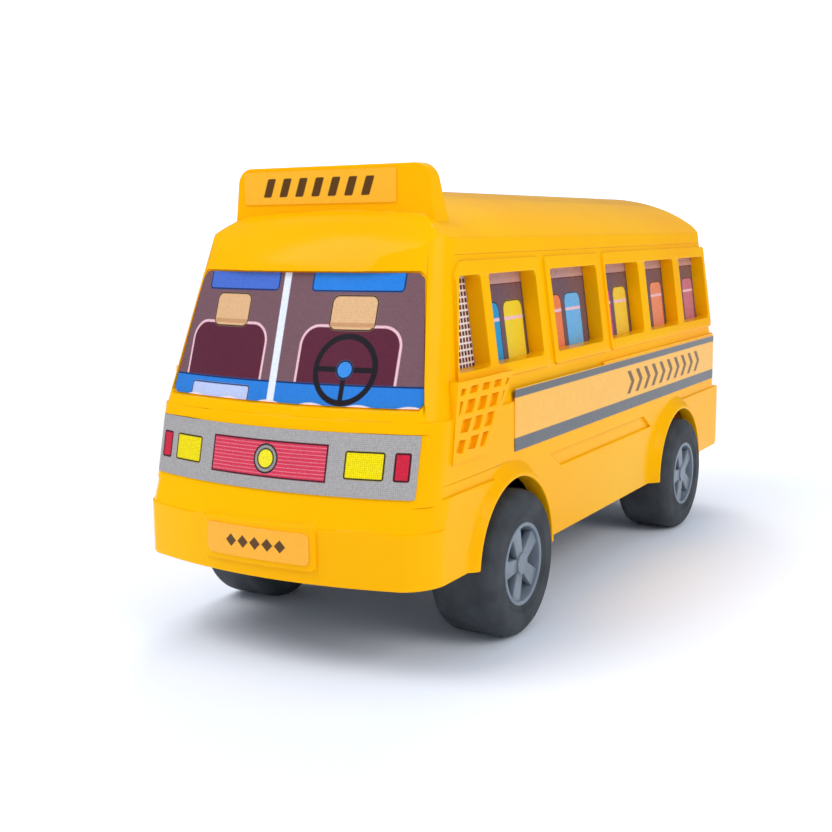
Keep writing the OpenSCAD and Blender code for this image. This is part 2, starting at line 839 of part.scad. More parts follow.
module chassis_plate() color(dark_plastic) difference() {
    union() {
        intersection() {
            translate([-chassis_half, -far, chassis_z]) cube([2 * chassis_half, 2 * far, plate_t]);
            union() {
                bumper_front(wall + seat_gap);
                rear_lower(wall + seat_gap);
            }
        }
        axle_lugs(front_axle_y);
        axle_lugs(rear_axle_y);
        at_case_ears() translate([0, 0, chassis_z - ear_boss_h])
            cylinder(h = ear_boss_h + over, r = case_boss_r);
    }
    on_both_sides() at_arches() translate([notch_x, -arch_r, -far]) cube([far, 2 * arch_r, 2 * far]);
    across() for (y = [front_axle_y, rear_axle_y]) translate([y, axle_z]) circle(axle_r + run_gap);
    translate([-case_out - seat_gap, case_front - seat_gap, 0])
        cube([2 * (case_out + seat_gap), case_back - case_front + 2 * seat_gap, far]);
    at_chassis_screws() cylinder(h = far, r = screw_r + seat_gap);
    at_case_ears() cylinder(h = far, r = screw_r + press_gap);
}

// Pan-head screw, its head's seat at the origin and its shank along +Z
module screw(length) {
    cylinder(h = length, r = screw_r);
    translate([0, 0, -screw_head_h]) cylinder(h = screw_head_h, r = screw_head_r);
}

module chassis_screws() color(steel) at_chassis_screws() translate([0, 0, chassis_z]) screw(plate_t + screw_bite - over);

// Tyre on the left side, its outer face at wheel_x
module tyre() {
    translate([tyre_in_x, 0, 0]) rotate([0, 90, 0]) rotate_extrude()
        arc_polygon([[hub_r, 0, 0], [tyre_r, 0, tyre_shoulder], [tyre_r, tyre_w, tyre_shoulder], [hub_r, tyre_w, 0]]);
}

// Hub on the left side: barrel, dished face with spokes, and an inner nose that runs against the lug
module hub() {
    face = tyre_w - hub_sink;
    difference() {
        translate([tyre_in_x, 0, 0]) rotate([0, 90, 0]) {
            difference() {
                rotate_extrude() polygon([[0, -hub_nose], [hub_nose_r, -hub_nose], [hub_nose_r, 0], [hub_r, 0],
                    [hub_r, face], [0, face]]);
                translate([0, 0, face - dish_d]) cylinder(h = far, r = hub_r - rim_t);
            }
            for (i = [0:spokes - 1]) rotate(first_spoke + i * 360 / spokes)
                translate([0, -spoke_w / 2, face - dish_d - over])
                    cube([hub_r - rim_t / 2, spoke_w, dish_d + over - spoke_sink]);
            translate([0, 0, face - dish_d - over]) cylinder(h = dish_d + over - spoke_sink / 2, r = hub_cap_r);
        }
        across(0, axle_half) circle(axle_r + press_gap);
    }
}

// Puts a left-hand wheel piece at one of the four corners
module at_wheel(name) {
    y = name == "front_left" || name == "front_right" ? front_axle_y : rear_axle_y;
    left = name == "front_left" || name == "rear_left";
    translate([0, y, axle_z]) mirror([left ? 0 : 1, 0, 0]) children();
}

module wheel_hub(name) color(hub_grey) at_wheel(name) hub();
module wheel_tyre(name) color(rubber_grey) at_wheel(name) tyre();
module axle(y) color(steel) across(-axle_half, axle_half) translate([y, axle_z]) circle(axle_r);

// Involute of an angle, in degrees
function involute(angle) = tan(angle) * 180 / PI - angle;
// Half the angle that a tooth takes at radius r
function tooth_half(teeth, r) =
    let (pitch_r = gear_m * teeth / 2, base_r = pitch_r * cos(pressure))
    90 / teeth - tooth_thinning / pitch_r * 90 / PI + involute(pressure) - involute(acos(min(1, base_r / r)));
// Radii along a tooth's flank, from root to tip
function flank(teeth) =
    let (pitch_r = gear_m * teeth / 2)
    [pitch_r - dedendum, pitch_r - addendum / 2, pitch_r, pitch_r + addendum / 2, pitch_r + addendum];

// Gear outline with a tooth at angle 0
module gear_outline(teeth) {
    radii = flank(teeth);
    last = len(radii) - 1;
    polygon([for (i = [0:teeth - 1], side = [-1, 1], k = [0:last])
        let (r = radii[side < 0 ? k : last - k], angle = i * 360 / teeth + side * tooth_half(teeth, r))
        r * [cos(angle), sin(angle)]]);
}

// Turned gear between two planes; a whole tooth, or a gap, lies towards the angle
module gear(teeth, x1, x2, y, z, angle, gap) {
    across(x1, x2) translate([y, z]) rotate(angle + (gap ? 180 / teeth : 0)) gear_outline(teeth);
}

// Round sleeve or disc across the bus
module disc(x1, x2, y, z, r) {
    across(x1, x2) translate([y, z]) circle(r);
}

ahead = 180 - mesh_rise;

module axle_gear() color(gear_white) difference() {
    union() {
        gear(gear_teeth, stage_1_x, stage_1_x + gear_w, rear_axle_y, axle_z, ahead, false);
        disc(stage_1_x, case_in - stack_gap, rear_axle_y, axle_z, axle_r + sleeve_wall);
    }
    disc(-far, far, rear_axle_y, axle_z, axle_r + press_gap);
}

module counter_gear() color(gear_white) difference() {
    union() {
        gear(pinion_teeth, stage_1_x, stage_2_x + over, counter_y, counter_z, ahead + 180, true);
        gear(gear_teeth, stage_2_x, stage_2_x + gear_w, counter_y, counter_z, ahead, false);
        disc(stage_2_x, case_in - stack_gap, counter_y, counter_z, shaft_r + sleeve_wall);
    }
    disc(-far, far, counter_y, counter_z, shaft_r + press_gap);
}

module flywheel_pinion() color(gear_white) difference() {
    gear(pinion_teeth, stage_2_x, flywheel_x, flywheel_y, flywheel_z, ahead + 180, true);
    disc(-far, far, flywheel_y, flywheel_z, shaft_r + press_gap);
}

module flywheel() color(steel) difference() {
    disc(flywheel_x, flywheel_x + flywheel_w, flywheel_y, flywheel_z, flywheel_r);
    disc(flywheel_x + flywheel_w / 2, far, flywheel_y, flywheel_z, flywheel_r - 2);
    disc(-far, far, flywheel_y, flywheel_z, shaft_r + press_gap);
}

module counter_shaft() color(steel) disc(-case_out + run_gap, case_out - run_gap, counter_y, counter_z, shaft_r);
module flywheel_shaft() color(steel) disc(-case_out + run_gap, case_out - run_gap, flywheel_y, flywheel_z, shaft_r);

// Runs its children at each ear of the motor case: left half in front, right half behind
module at_case_ears() {
    translate([ear_x, case_front - ear_l / 2, 0]) children();
    translate([-ear_x, case_back + ear_l / 2, 0]) children();
}

// Screw places of the motor case in (y, z)
case_screws = [[case_back - case_boss_in, case_top - case_boss_in], [case_front + case_boss_in, case_foot + case_boss_in]];

module case_outline(e) {
    arc_rect([case_front + e, case_foot + e], [case_back - e, case_top - e], case_r - e);
}

// One half of the motor case, on the left of the centre line, with an ear from y1 to y2 and bores for its screws
module case_half(y1, y2, screw_hole) {
    difference() {
        union() {
            difference() {
                across(0, case_out) case_outline(0);
                across(-over, case_in) case_outline(case_wall);
            }
            across(0, case_in + case_wall / 2) for (p = case_screws) translate(p) circle(case_boss_r);
            translate([0, y1, chassis_top]) cube([case_out, y2 - y1, ear_t]);
        }
        disc(-far, far, rear_axle_y, axle_z, axle_r + run_gap);
        disc(-far, far, counter_y, counter_z, shaft_r + run_gap);
        disc(-far, far, flywheel_y, flywheel_z, shaft_r + run_gap);
        across(-over, screw_hole.x) for (p = case_screws) translate(p) circle(screw_hole.y);
        translate([ear_x, (y1 + y2) / 2, 0]) cylinder(h = far, r = screw_r + seat_gap);
    }
}

module motor_case_left() color(dark_plastic) case_half(case_front - ear_l, case_front, [far, screw_r + seat_gap]);
module motor_case_right() color(dark_plastic) mirror([1, 0, 0])
    case_half(case_back, case_back + ear_l, [case_in - over / 2, screw_r + press_gap]);

module motor_case_screws() color(steel) for (p = case_screws) translate([case_out, p.x, p.y]) rotate([0, -90, 0])
    screw(case_out + case_in - over);

module motor_mount_screws() color(steel) at_case_ears() translate([0, 0, chassis_top + ear_t]) mirror([0, 0, 1])
    screw(ear_t + plate_t + ear_boss_h);

body_shell();
chassis_plate();
chassis_screws();
windscreen_print();
left_window_print();
right_window_print();
rear_window_print();
sign_sticker();
grille_sticker();
plate_sticker();
left_stripe_sticker();
right_stripe_sticker();
axle(front_axle_y);  // front_axle
axle(rear_axle_y);  // rear_axle
for (name = WHEELS) {
    wheel_hub(name);
    wheel_tyre(name);
}
axle_gear();
counter_gear();
counter_shaft();
flywheel();
flywheel_pinion();
flywheel_shaft();
motor_case_left();
motor_case_right();
motor_case_screws();
motor_mount_screws();
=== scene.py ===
# %% [markdown]
# # Dressing a push-along toy bus
# The bus is already built as separate solids: a shell, printed cards, stickers, wheels and a friction
# drive. Here those solids are the fixed frame, and this lesson gives them their finish. Some pieces keep
# their solid and get a material. Others are modelled again with softer edges, always in the same place and
# size.

# %% The frame
import math

import bmesh
import bpy
from mathutils import Matrix, Vector


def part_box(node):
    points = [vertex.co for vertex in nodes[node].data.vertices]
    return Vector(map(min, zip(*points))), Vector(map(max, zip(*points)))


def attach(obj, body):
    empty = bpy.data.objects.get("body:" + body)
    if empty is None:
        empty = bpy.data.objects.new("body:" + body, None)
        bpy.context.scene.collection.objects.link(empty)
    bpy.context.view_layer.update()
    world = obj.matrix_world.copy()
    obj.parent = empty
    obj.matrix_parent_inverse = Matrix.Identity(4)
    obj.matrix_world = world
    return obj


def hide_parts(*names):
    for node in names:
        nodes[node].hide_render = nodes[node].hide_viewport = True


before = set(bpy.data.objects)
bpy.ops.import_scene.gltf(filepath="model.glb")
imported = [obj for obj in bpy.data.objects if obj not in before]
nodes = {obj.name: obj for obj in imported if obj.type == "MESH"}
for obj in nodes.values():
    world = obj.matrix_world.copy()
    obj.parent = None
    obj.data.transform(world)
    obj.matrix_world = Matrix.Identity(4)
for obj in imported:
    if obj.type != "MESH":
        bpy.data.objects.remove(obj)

scene = bpy.context.scene
mm = 0.001
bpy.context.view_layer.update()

# %% [markdown]
# ## The camera
# A photograph fixes the camera before anything else, because everything placed later is seen through it. Its
# place is written as a photographer would say it: what it looks at, from how far, from which side, how high
# and how tilted.

# %% Camera
camera_target = Vector((0.52, -30.58, 36.98)) * mm
camera_distance = 248.6 * mm
camera_azimuth = math.radians(30.39)
camera_elevation = math.radians(8.83)
camera_roll = math.radians(-0.59)
camera_lens = 51.92

level = math.cos(camera_elevation)
backward = Vector((math.sin(camera_azimuth) * level, -math.cos(camera_azimuth) * level,
                   math.sin(camera_elevation)))
rightward = Vector((math.cos(camera_azimuth), math.sin(camera_azimuth), 0))
upward = backward.cross(rightward)
picture_x = math.cos(camera_roll) * rightward + math.sin(camera_roll) * upward
picture_y = math.cos(camera_roll) * upward - math.sin(camera_roll) * rightward

camera = bpy.data.objects.new("camera", bpy.data.cameras.new("camera"))
camera.data.lens = camera_lens
camera.data.clip_start = 0.01
camera.matrix_world = (Matrix.Translation(camera_target + backward * camera_distance)
                       @ Matrix((picture_x, picture_y, backward)).transposed().to_4x4())
scene.collection.objects.link(camera)
scene.camera = camera
print("camera at", tuple(round(v / mm, 1) for v in camera.location), "mm")

# %% [markdown]
# ## Light and floor
# Product pictures like this one are taken on a white sweep under large soft lamps. The floor is pale and
# keeps the shadow near the wheels. Further away it turns into a plain white that throws no extra light on
# the toy. The room is dimmer in reflections than in the picture, so that the gloss shows the lamps and not
# a white haze.

# %% A small helper for node trees
def add_node(tree, kind, settings=(), **sockets):
    """A node of that kind; settings are its own fields, sockets its values, or the outputs that feed them."""
    node = tree.nodes.new(kind)
    for field, value in dict(settings).items():
        setattr(node, field, value)
    for name, value in sockets.items():
        socket = node.inputs[name.replace("_", " ")]
        if isinstance(value, bpy.types.NodeSocket):
            tree.links.new(value, socket)
        else:
            socket.default_value = value
    return node


def math_node(tree, operation, *values):
    """The output of a Math node; a value is a number or another output."""
    node = tree.nodes.new("ShaderNodeMath")
    node.operation = operation
    for socket, value in zip(node.inputs, values):
        if isinstance(value, bpy.types.NodeSocket):
            tree.links.new(value, socket)
        else:
            socket.default_value = value
    return node.outputs[0]


def tint(red, green, blue):
    """A colour as read off a screen, 0 to 255, as the linear colour that a shader takes."""
    def linear(value):
        share = value / 255
        return share / 12.92 if share <= 0.04045 else ((share + 0.055) / 1.055) ** 2.4
    return (linear(red), linear(green), linear(blue), 1)


def seen_directly(tree):
    """1 for rays that show the background itself: to the camera, in gloss and through glass."""
    path = tree.nodes.new("ShaderNodeLightPath")
    gloss = math_node(tree, "MAXIMUM", path.outputs["Is Glossy Ray"], path.outputs["Is Transmission Ray"])
    return math_node(tree, "MAXIMUM", path.outputs["Is Camera Ray"], gloss)


print("helpers ready")

# %% White sweep: world, floor and lamps
world_light = 0.71
gloss_light = 0.22
backdrop_light = 1.5
floor_half = 1.5
floor_clear = 0.02 * mm
fade_start = 0.10
fade_end = 0.26
bus_middle = Vector((0.0, 0.0, 40 * mm))

world = bpy.data.worlds.new("white_sweep")
world.use_nodes = True
scene.world = world
sky = world.node_tree
sky.nodes.clear()
sky_path = sky.nodes.new("ShaderNodeLightPath").outputs
mirrored = math_node(sky, "MULTIPLY_ADD", sky_path["Is Glossy Ray"], gloss_light - world_light, world_light)
sky_strength = math_node(sky, "MULTIPLY_ADD", sky_path["Is Camera Ray"], backdrop_light - world_light,
                         mirrored)
sky_light = add_node(sky, "ShaderNodeBackground", Color=tint(226, 238, 255), Strength=sky_strength)
sky.links.new(sky_light.outputs[0], sky.nodes.new("ShaderNodeOutputWorld").inputs["Surface"])

sweep = bmesh.new()
bmesh.ops.create_grid(sweep, x_segments=1, y_segments=1, size=floor_half,
                      matrix=Matrix.Translation((0, 0, -floor_clear)))
floor_mesh = bpy.data.meshes.new("floor")
sweep.to_mesh(floor_mesh)
sweep.free()
floor = bpy.data.objects.new("floor", floor_mesh)
scene.collection.objects.link(floor)

paper = bpy.data.materials.new("white_paper")
paper.use_nodes = True
sheet = paper.node_tree
sheet.nodes.clear()
place = add_node(sheet, "ShaderNodeTexCoord")
apart = add_node(sheet, "ShaderNodeVectorMath", {"operation": "LENGTH"}, Vector=place.outputs["Object"])
fade = add_node(sheet, "ShaderNodeMapRange", {"interpolation_type": "SMOOTHSTEP"},
                Value=apart.outputs["Value"], From_Min=fade_start, From_Max=fade_end)
white_share = math_node(sheet, "MULTIPLY", fade.outputs[0], seen_directly(sheet))
lit_paper = add_node(sheet, "ShaderNodeBsdfDiffuse", Color=tint(248, 250, 255))
plain_white = add_node(sheet, "ShaderNodeEmission", Color=(1, 1, 1, 1), Strength=1)
paper_mix = sheet.nodes.new("ShaderNodeMixShader")
sheet.links.new(white_share, paper_mix.inputs[0])
sheet.links.new(lit_paper.outputs[0], paper_mix.inputs[1])
sheet.links.new(plain_white.outputs[0], paper_mix.inputs[2])
sheet.links.new(paper_mix.outputs[0], sheet.nodes.new("ShaderNodeOutputMaterial").inputs["Surface"])
floor_mesh.materials.append(paper)


def soft_lamp(name, place, size, watts, colour=(1, 1, 1)):
    """A square soft box that faces the middle of the bus."""
    lamp = bpy.data.lights.new(name, "AREA")
    lamp.size = size
    lamp.energy = watts
    lamp.color = colour
    box = bpy.data.objects.new(name, lamp)
    toward = (bus_middle - Vector(place)).to_track_quat("-Z", "Y")
    box.matrix_world = Matrix.Translation(place) @ toward.to_matrix().to_4x4()
    scene.collection.objects.link(box)
    return box


lamps = [
    soft_lamp("key_lamp", (-0.35, -0.45, 0.75), 0.5, 3.5),
    soft_lamp("side_lamp", (0.75, -0.15, 0.55), 0.5, 2.8),
    soft_lamp("back_lamp", (-0.25, 0.55, 0.7), 0.4, 2.5),
]
scene.view_settings.view_transform = "Standard"
print("lamps:", [lamp.name for lamp in lamps])

# %% [markdown]
# ## Moulded plastic
# Injection-moulded plastic is never one flat colour. The melt leaves faint flow shades, the mould a fine
# orange-peel skin, and handling dulls the gloss in patches. All the plastics here share that skin, so it is
# one node group, and each material sets its own colours and strengths on it.

# %% Node group: moulded skin
def new_group(name, inputs, outputs):
    """An empty shader node group with named sockets; inputs are (name, kind, default)."""
    group = bpy.data.node_groups.new(name, "ShaderNodeTree")
    for socket_name, kind, default in inputs:
        socket = group.interface.new_socket(socket_name, in_out="INPUT", socket_type="NodeSocket" + kind)
        if default is not None:
            socket.default_value = default
    for socket_name, kind in outputs:
        group.interface.new_socket(socket_name, in_out="OUTPUT", socket_type="NodeSocket" + kind)
    return group, group.nodes.new("NodeGroupInput").outputs, group.nodes.new("NodeGroupOutput").inputs


skin_group, given, result = new_group(
    "moulded_skin",
    [("Vector", "Vector", None), ("Light Colour", "Color", (1, 1, 1, 1)),
     ("Deep Colour", "Color", (0.5, 0.5, 0.5, 1)), ("Flow Size", "Float", 30.0), ("Gloss", "Float", 0.3),
     ("Gloss Change", "Float", 0.1), ("Peel Size", "Float", 900.0)],
    [("Colour", "Color"), ("Roughness", "Float"), ("Height", "Float")])
flow = add_node(skin_group, "ShaderNodeTexNoise", Vector=given["Vector"], Scale=given["Flow Size"],
                Detail=3.0)
shade = add_node(skin_group, "ShaderNodeMapRange", Value=flow.outputs["Fac"], From_Min=0.35, From_Max=0.7)
blend = add_node(skin_group, "ShaderNodeMix", {"data_type": "RGBA"})
skin_group.links.new(shade.outputs[0], blend.inputs[0])
skin_group.links.new(given["Light Colour"], blend.inputs[6])
skin_group.links.new(given["Deep Colour"], blend.inputs[7])
patches = add_node(skin_group, "ShaderNodeTexNoise", Vector=given["Vector"], Scale=120.0, Detail=4.0)
dulling = math_node(skin_group, "MULTIPLY", patches.outputs["Fac"], given["Gloss Change"])
peel = add_node(skin_group, "ShaderNodeTexNoise", Vector=given["Vector"], Scale=given["Peel Size"],
                Detail=2.0)
skin_group.links.new(blend.outputs[2], result["Colour"])
skin_group.links.new(math_node(skin_group, "ADD", given["Gloss"], dulling), result["Roughness"])
skin_group.links.new(peel.outputs["Fac"], result["Height"])
print("group", skin_group.name)


# %% Moulded materials
def moulded(name, light, deep, gloss, gloss_change, flow_size, peel_size, peel_height, metallic=0.0,
            specular=0.5):
    """A plastic, rubber or metal with the moulded skin; peel_height is in metres."""
    material = bpy.data.materials.new(name)
    material.use_nodes = True
    tree = material.node_tree
    shader = tree.nodes["Principled BSDF"]
    skin = add_node(tree, "ShaderNodeGroup", {"node_tree": skin_group}, Light_Colour=light, Deep_Colour=deep,
                    Flow_Size=flow_size, Gloss=gloss, Gloss_Change=gloss_change, Peel_Size=peel_size,
                    Vector=tree.nodes.new("ShaderNodeTexCoord").outputs["Object"])
    bump = add_node(tree, "ShaderNodeBump", Height=skin.outputs["Height"], Distance=peel_height, Strength=1.0)
    tree.links.new(skin.outputs["Colour"], shader.inputs["Base Color"])
    tree.links.new(skin.outputs["Roughness"], shader.inputs["Roughness"])
    tree.links.new(bump.outputs["Normal"], shader.inputs["Normal"])
    shader.inputs["Metallic"].default_value = metallic
    shader.inputs["Specular IOR Level"].default_value = specular
    return material


yellow_plastic = moulded("yellow_plastic", tint(255, 187, 0), tint(255, 177, 0), 0.15, 0.08, 22.0, 260.0,
                         0.005 * mm, specular=0.06)
black_plastic = moulded("black_plastic", tint(58, 61, 66), tint(44, 46, 50), 0.42, 0.14, 60.0, 900.0,
                        0.02 * mm)
tyre_rubber = moulded("tyre_rubber", tint(62, 67, 71), tint(43, 47, 51), 0.62, 0.2, 190.0, 1400.0, 0.05 * mm)
hub_plastic = moulded("hub_plastic", tint(130, 140, 150), tint(108, 117, 126), 0.3, 0.16, 160.0, 900.0,
                      0.02 * mm)
gear_plastic = moulded("gear_plastic", tint(236, 232, 220), tint(222, 217, 203), 0.38, 0.1, 90.0, 900.0,
                       0.01 * mm)
steel = moulded("steel", tint(200, 202, 205), tint(176, 178, 182), 0.26, 0.14, 300.0, 1800.0, 0.004 * mm,
                metallic=1.0)
flywheel_iron = moulded("flywheel_iron", tint(150, 148, 146), tint(118, 114, 110), 0.4, 0.2, 260.0, 1200.0,
                        0.01 * mm, metallic=1.0)
print("moulded materials:", [m.name for m in (yellow_plastic, black_plastic, tyre_rubber, hub_plastic)])

# %% [markdown]
# ## Printed film
# The stickers and window cards are flat artwork on glossy film. Instead of a picture file, each print is
# drawn from simple shapes placed in millimetres. A rounded panel is the only shape needed: with its corner
# as large as its half width it is a disc, its rim makes an outline, and a wrapped coordinate repeats it.

# %% Node group: printed panel
panel_group, given, result = new_group(
    "printed_panel",
    [("U", "Float", 0.0), ("V", "Float", 0.0), ("Centre U", "Float", 0.0), ("Centre V", "Float", 0.0),
     ("Half U", "Float", 1.0), ("Half V", "Float", 1.0), ("Corner", "Float", 0.0), ("Lean", "Float", 0.0),
     ("Rim", "Float", 0.3)],
    [("Inside", "Float"), ("Outline", "Float")])
across_v = math_node(panel_group, "SUBTRACT", given["V"], given["Centre V"])
sheared = math_node(panel_group, "MULTIPLY", across_v, given["Lean"])
from_centre = math_node(panel_group, "SUBTRACT", given["U"], given["Centre U"])
across_u = math_node(panel_group, "SUBTRACT", from_centre, sheared)
past_u = math_node(panel_group, "ADD", math_node(
    panel_group, "SUBTRACT", math_node(panel_group, "ABSOLUTE", across_u), given["Half U"]), given["Corner"])
past_v = math_node(panel_group, "ADD", math_node(
    panel_group, "SUBTRACT", math_node(panel_group, "ABSOLUTE", across_v), given["Half V"]), given["Corner"])
square_u = math_node(panel_group, "POWER", math_node(panel_group, "MAXIMUM", past_u, 0.0), 2.0)
square_v = math_node(panel_group, "POWER", math_node(panel_group, "MAXIMUM", past_v, 0.0), 2.0)
outside = math_node(panel_group, "SQRT", math_node(panel_group, "ADD", square_u, square_v))
within = math_node(panel_group, "MINIMUM", math_node(panel_group, "MAXIMUM", past_u, past_v), 0.0)
edge = math_node(panel_group, "SUBTRACT", math_node(panel_group, "ADD", outside, within), given["Corner"])
ink_edge = 0.08
inside = add_node(panel_group, "ShaderNodeMapRange", Value=edge, From_Min=ink_edge, From_Max=-ink_edge)
core = add_node(panel_group, "ShaderNodeMapRange", Value=math_node(panel_group, "ADD", edge, given["Rim"]),
                From_Min=ink_edge, From_Max=-ink_edge)
panel_group.links.new(inside.outputs[0], result["Inside"])
rim_mask = math_node(panel_group, "SUBTRACT", inside.outputs[0], core.outputs[0])
panel_group.links.new(rim_mask, result["Outline"])
print("group", panel_group.name)

# %% Node group: halftone and film
film_group, given, result = new_group(
    "printed_film",
    [("Vector", "Vector", None), ("U", "Float", 0.0), ("V", "Float", 0.0), ("Ink", "Color", (1, 1, 1, 1)),
     ("Screen Pitch", "Float", 0.5), ("Screen Strength", "Float", 0.1), ("Speckle", "Float", 0.1),
     ("Ripple Size", "Float", 60.0)],
    [("Colour", "Color"), ("Roughness", "Float"), ("Height", "Float")])
rising = math_node(film_group, "ADD", given["U"], given["V"])
falling = math_node(film_group, "SUBTRACT", given["U"], given["V"])
waves = []
for slope in (rising, falling):
    turns = math_node(film_group, "DIVIDE", slope, given["Screen Pitch"])
    waves.append(math_node(film_group, "SINE", math_node(film_group, "MULTIPLY", turns, math.tau)))
dots = math_node(film_group, "MULTIPLY", *waves)
grit = add_node(film_group, "ShaderNodeTexNoise", Vector=given["Vector"], Scale=2600.0, Detail=2.0)
grit_change = math_node(film_group, "SUBTRACT", grit.outputs["Fac"], 0.5)
grit_shade = math_node(film_group, "MULTIPLY", grit_change, given["Speckle"])
screen_shade = math_node(film_group, "MULTIPLY", dots, given["Screen Strength"])
value = math_node(film_group, "ADD", math_node(film_group, "ADD", screen_shade, grit_shade), 1.0)
inked = add_node(film_group, "ShaderNodeVectorMath", {"operation": "SCALE"})
film_group.links.new(given["Ink"], inked.inputs[0])
film_group.links.new(value, inked.inputs["Scale"])
ripple = add_node(film_group, "ShaderNodeTexNoise", Vector=given["Vector"], Scale=given["Ripple Size"],
                  Detail=3.0)
smears = add_node(film_group, "ShaderNodeTexNoise", Vector=given["Vector"], Scale=210.0, Detail=3.0)
film_group.links.new(inked.outputs[0], result["Colour"])
smear_gloss = math_node(film_group, "MULTIPLY_ADD", smears.outputs["Fac"], 0.16, 0.2)
film_group.links.new(smear_gloss, result["Roughness"])
film_group.links.new(ripple.outputs["Fac"], result["Height"])
print("group", film_group.name)


# %% The print helper
class Print:
    """One printed film: shapes laid over each other, placed in millimetres along u and up z."""

    def __init__(self, name, along, paper_colour):
        self.material = bpy.data.materials.new(name)
        self.material.use_nodes = True
        self.tree = self.material.node_tree
        self.place = self.tree.nodes.new("ShaderNodeTexCoord").outputs["Object"]
        millimetres = add_node(self.tree, "ShaderNodeVectorMath", {"operation": "SCALE"}, Vector=self.place,
                               Scale=1 / mm)
        axes = add_node(self.tree, "ShaderNodeSeparateXYZ", Vector=millimetres.outputs[0])
        self.u = axes.outputs[along]
        self.v = axes.outputs["Z"]
        self.ink = paper_colour

    def panel(self, u, v, half_u, half_v, corner=0.0, lean=0.0, rim=0.3, at=None):
        """A rounded panel's masks; at gives other coordinates, such as wrapped ones."""
        where_u, where_v = at or (self.u, self.v)
        return add_node(self.tree, "ShaderNodeGroup", {"node_tree": panel_group}, U=where_u, V=where_v,
                        Centre_U=u, Centre_V=v, Half_U=half_u, Half_V=half_v, Corner=corner, Lean=lean,
                        Rim=rim).outputs

    def lay(self, colour, mask):
        """Prints a colour over what is there, where the mask is 1."""
        mix = add_node(self.tree, "ShaderNodeMix", {"data_type": "RGBA"})
        self.tree.links.new(mask, mix.inputs[0])
        for socket, ink in ((mix.inputs[6], self.ink), (mix.inputs[7], colour)):
            if isinstance(ink, bpy.types.NodeSocket):
                self.tree.links.new(ink, socket)
            else:
                socket.default_value = ink
        self.ink = mix.outputs[2]

    def badge(self, colour, line, u, v, half_u, half_v, corner=0.0, lean=0.0, rim=0.3):
        """A filled panel with an outline in another colour."""
        masks = self.panel(u, v, half_u, half_v, corner, lean, rim)
        self.lay(colour, masks["Inside"])
        self.lay(line, masks["Outline"])

    def both(self, first, second):
        """Where two masks overlap."""
        return math_node(self.tree, "MULTIPLY", first, second)

    def wrapped(self, value, low, high):
        """A coordinate that starts again at low each time it reaches high."""
        return math_node(self.tree, "WRAP", value, high, low)

    def finish(self, screen_pitch, screen_strength, speckle, ripple_size, ripple_height, coat):
        """Adds the halftone, the speckle and the rippled gloss of the film."""
        shader = self.tree.nodes["Principled BSDF"]
        film = add_node(self.tree, "ShaderNodeGroup", {"node_tree": film_group}, Vector=self.place, U=self.u,
                        V=self.v, Ink=self.ink, Screen_Pitch=screen_pitch, Screen_Strength=screen_strength,
                        Speckle=speckle, Ripple_Size=ripple_size)
        bump = add_node(self.tree, "ShaderNodeBump", Height=film.outputs["Height"], Distance=ripple_height,
                        Strength=1.0)
        self.tree.links.new(film.outputs["Colour"], shader.inputs["Base Color"])
        self.tree.links.new(film.outputs["Roughness"], shader.inputs["Roughness"])
        self.tree.links.new(bump.outputs["Normal"], shader.inputs["Normal"])
        shader.inputs["Specular IOR Level"].default_value = 0.2
        shader.inputs["Coat Weight"].default_value = coat
        shader.inputs["Coat Roughness"].default_value = 0.08
        return self.material


ink_black = tint(34, 28, 34)
ink_brown = tint(92, 60, 22)
ink_navy = tint(24, 44, 88)
ink_maroon = tint(94, 36, 54)
ink_mauve = tint(120, 86, 92)
piping_pink = tint(238, 190, 196)
print("print helper ready")


# %% [markdown]
# ## The body shell
# The shell is one moulding, and every edge of a moulding is a little round, because a tool can't cut a
# truly sharp one. The solid has sharp edges, so a merged copy of it takes their place: triangles that lie
# in one plane are dissolved first, and a narrow bevel then rounds what is left, which catches the light as
# the real toy does.

# %% Pieces and their places
def new_piece(name, mesh, material, body, slot, *replaced):
    """A finished piece that rides on a body and stands for CAD nodes."""
    piece = bpy.data.objects.new(name, mesh)
    scene.collection.objects.link(piece)
    mesh.materials.clear()
    mesh.materials.append(material)
    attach(piece, body)
    if replaced:
        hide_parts(*replaced)
    return piece


def finish_mesh(shape, name, smooth_angle):
    """A mesh from a bmesh, smooth but for edges sharper than the angle in degrees."""
    mesh = bpy.data.meshes.new(name)
    for face in shape.faces:
        face.smooth = True
    for edge in shape.edges:
        edge.smooth = len(edge.link_faces) == 2 and edge.calc_face_angle(0) < math.radians(smooth_angle)
    shape.to_mesh(mesh)
    shape.free()
    return mesh


def steady(edge, least_angle):
    """True for an edge whose neighbours leave it at no narrow angle, where a bevel could run away."""
    loops = [corner for loop in edge.link_loops for corner in (loop, loop.link_loop_next)]
    return all(corner.calc_angle() > least_angle for corner in loops)


belt_low = 46.0 * mm
belt_high = 47.0 * mm


def beside_stripe(edge):
    """True for the belt ledge over the stripe's bed, which stays sharp so that its narrow gap is even."""
    return all(belt_low < vert.co.z < belt_high for vert in edge.verts)


flat_angle = math.radians(0.2)
hard_angle = math.radians(24)
least_corner = math.radians(30)
tiny_edge = 0.02 * mm
short_edge = 0.1 * mm
edge_round = 0.22 * mm

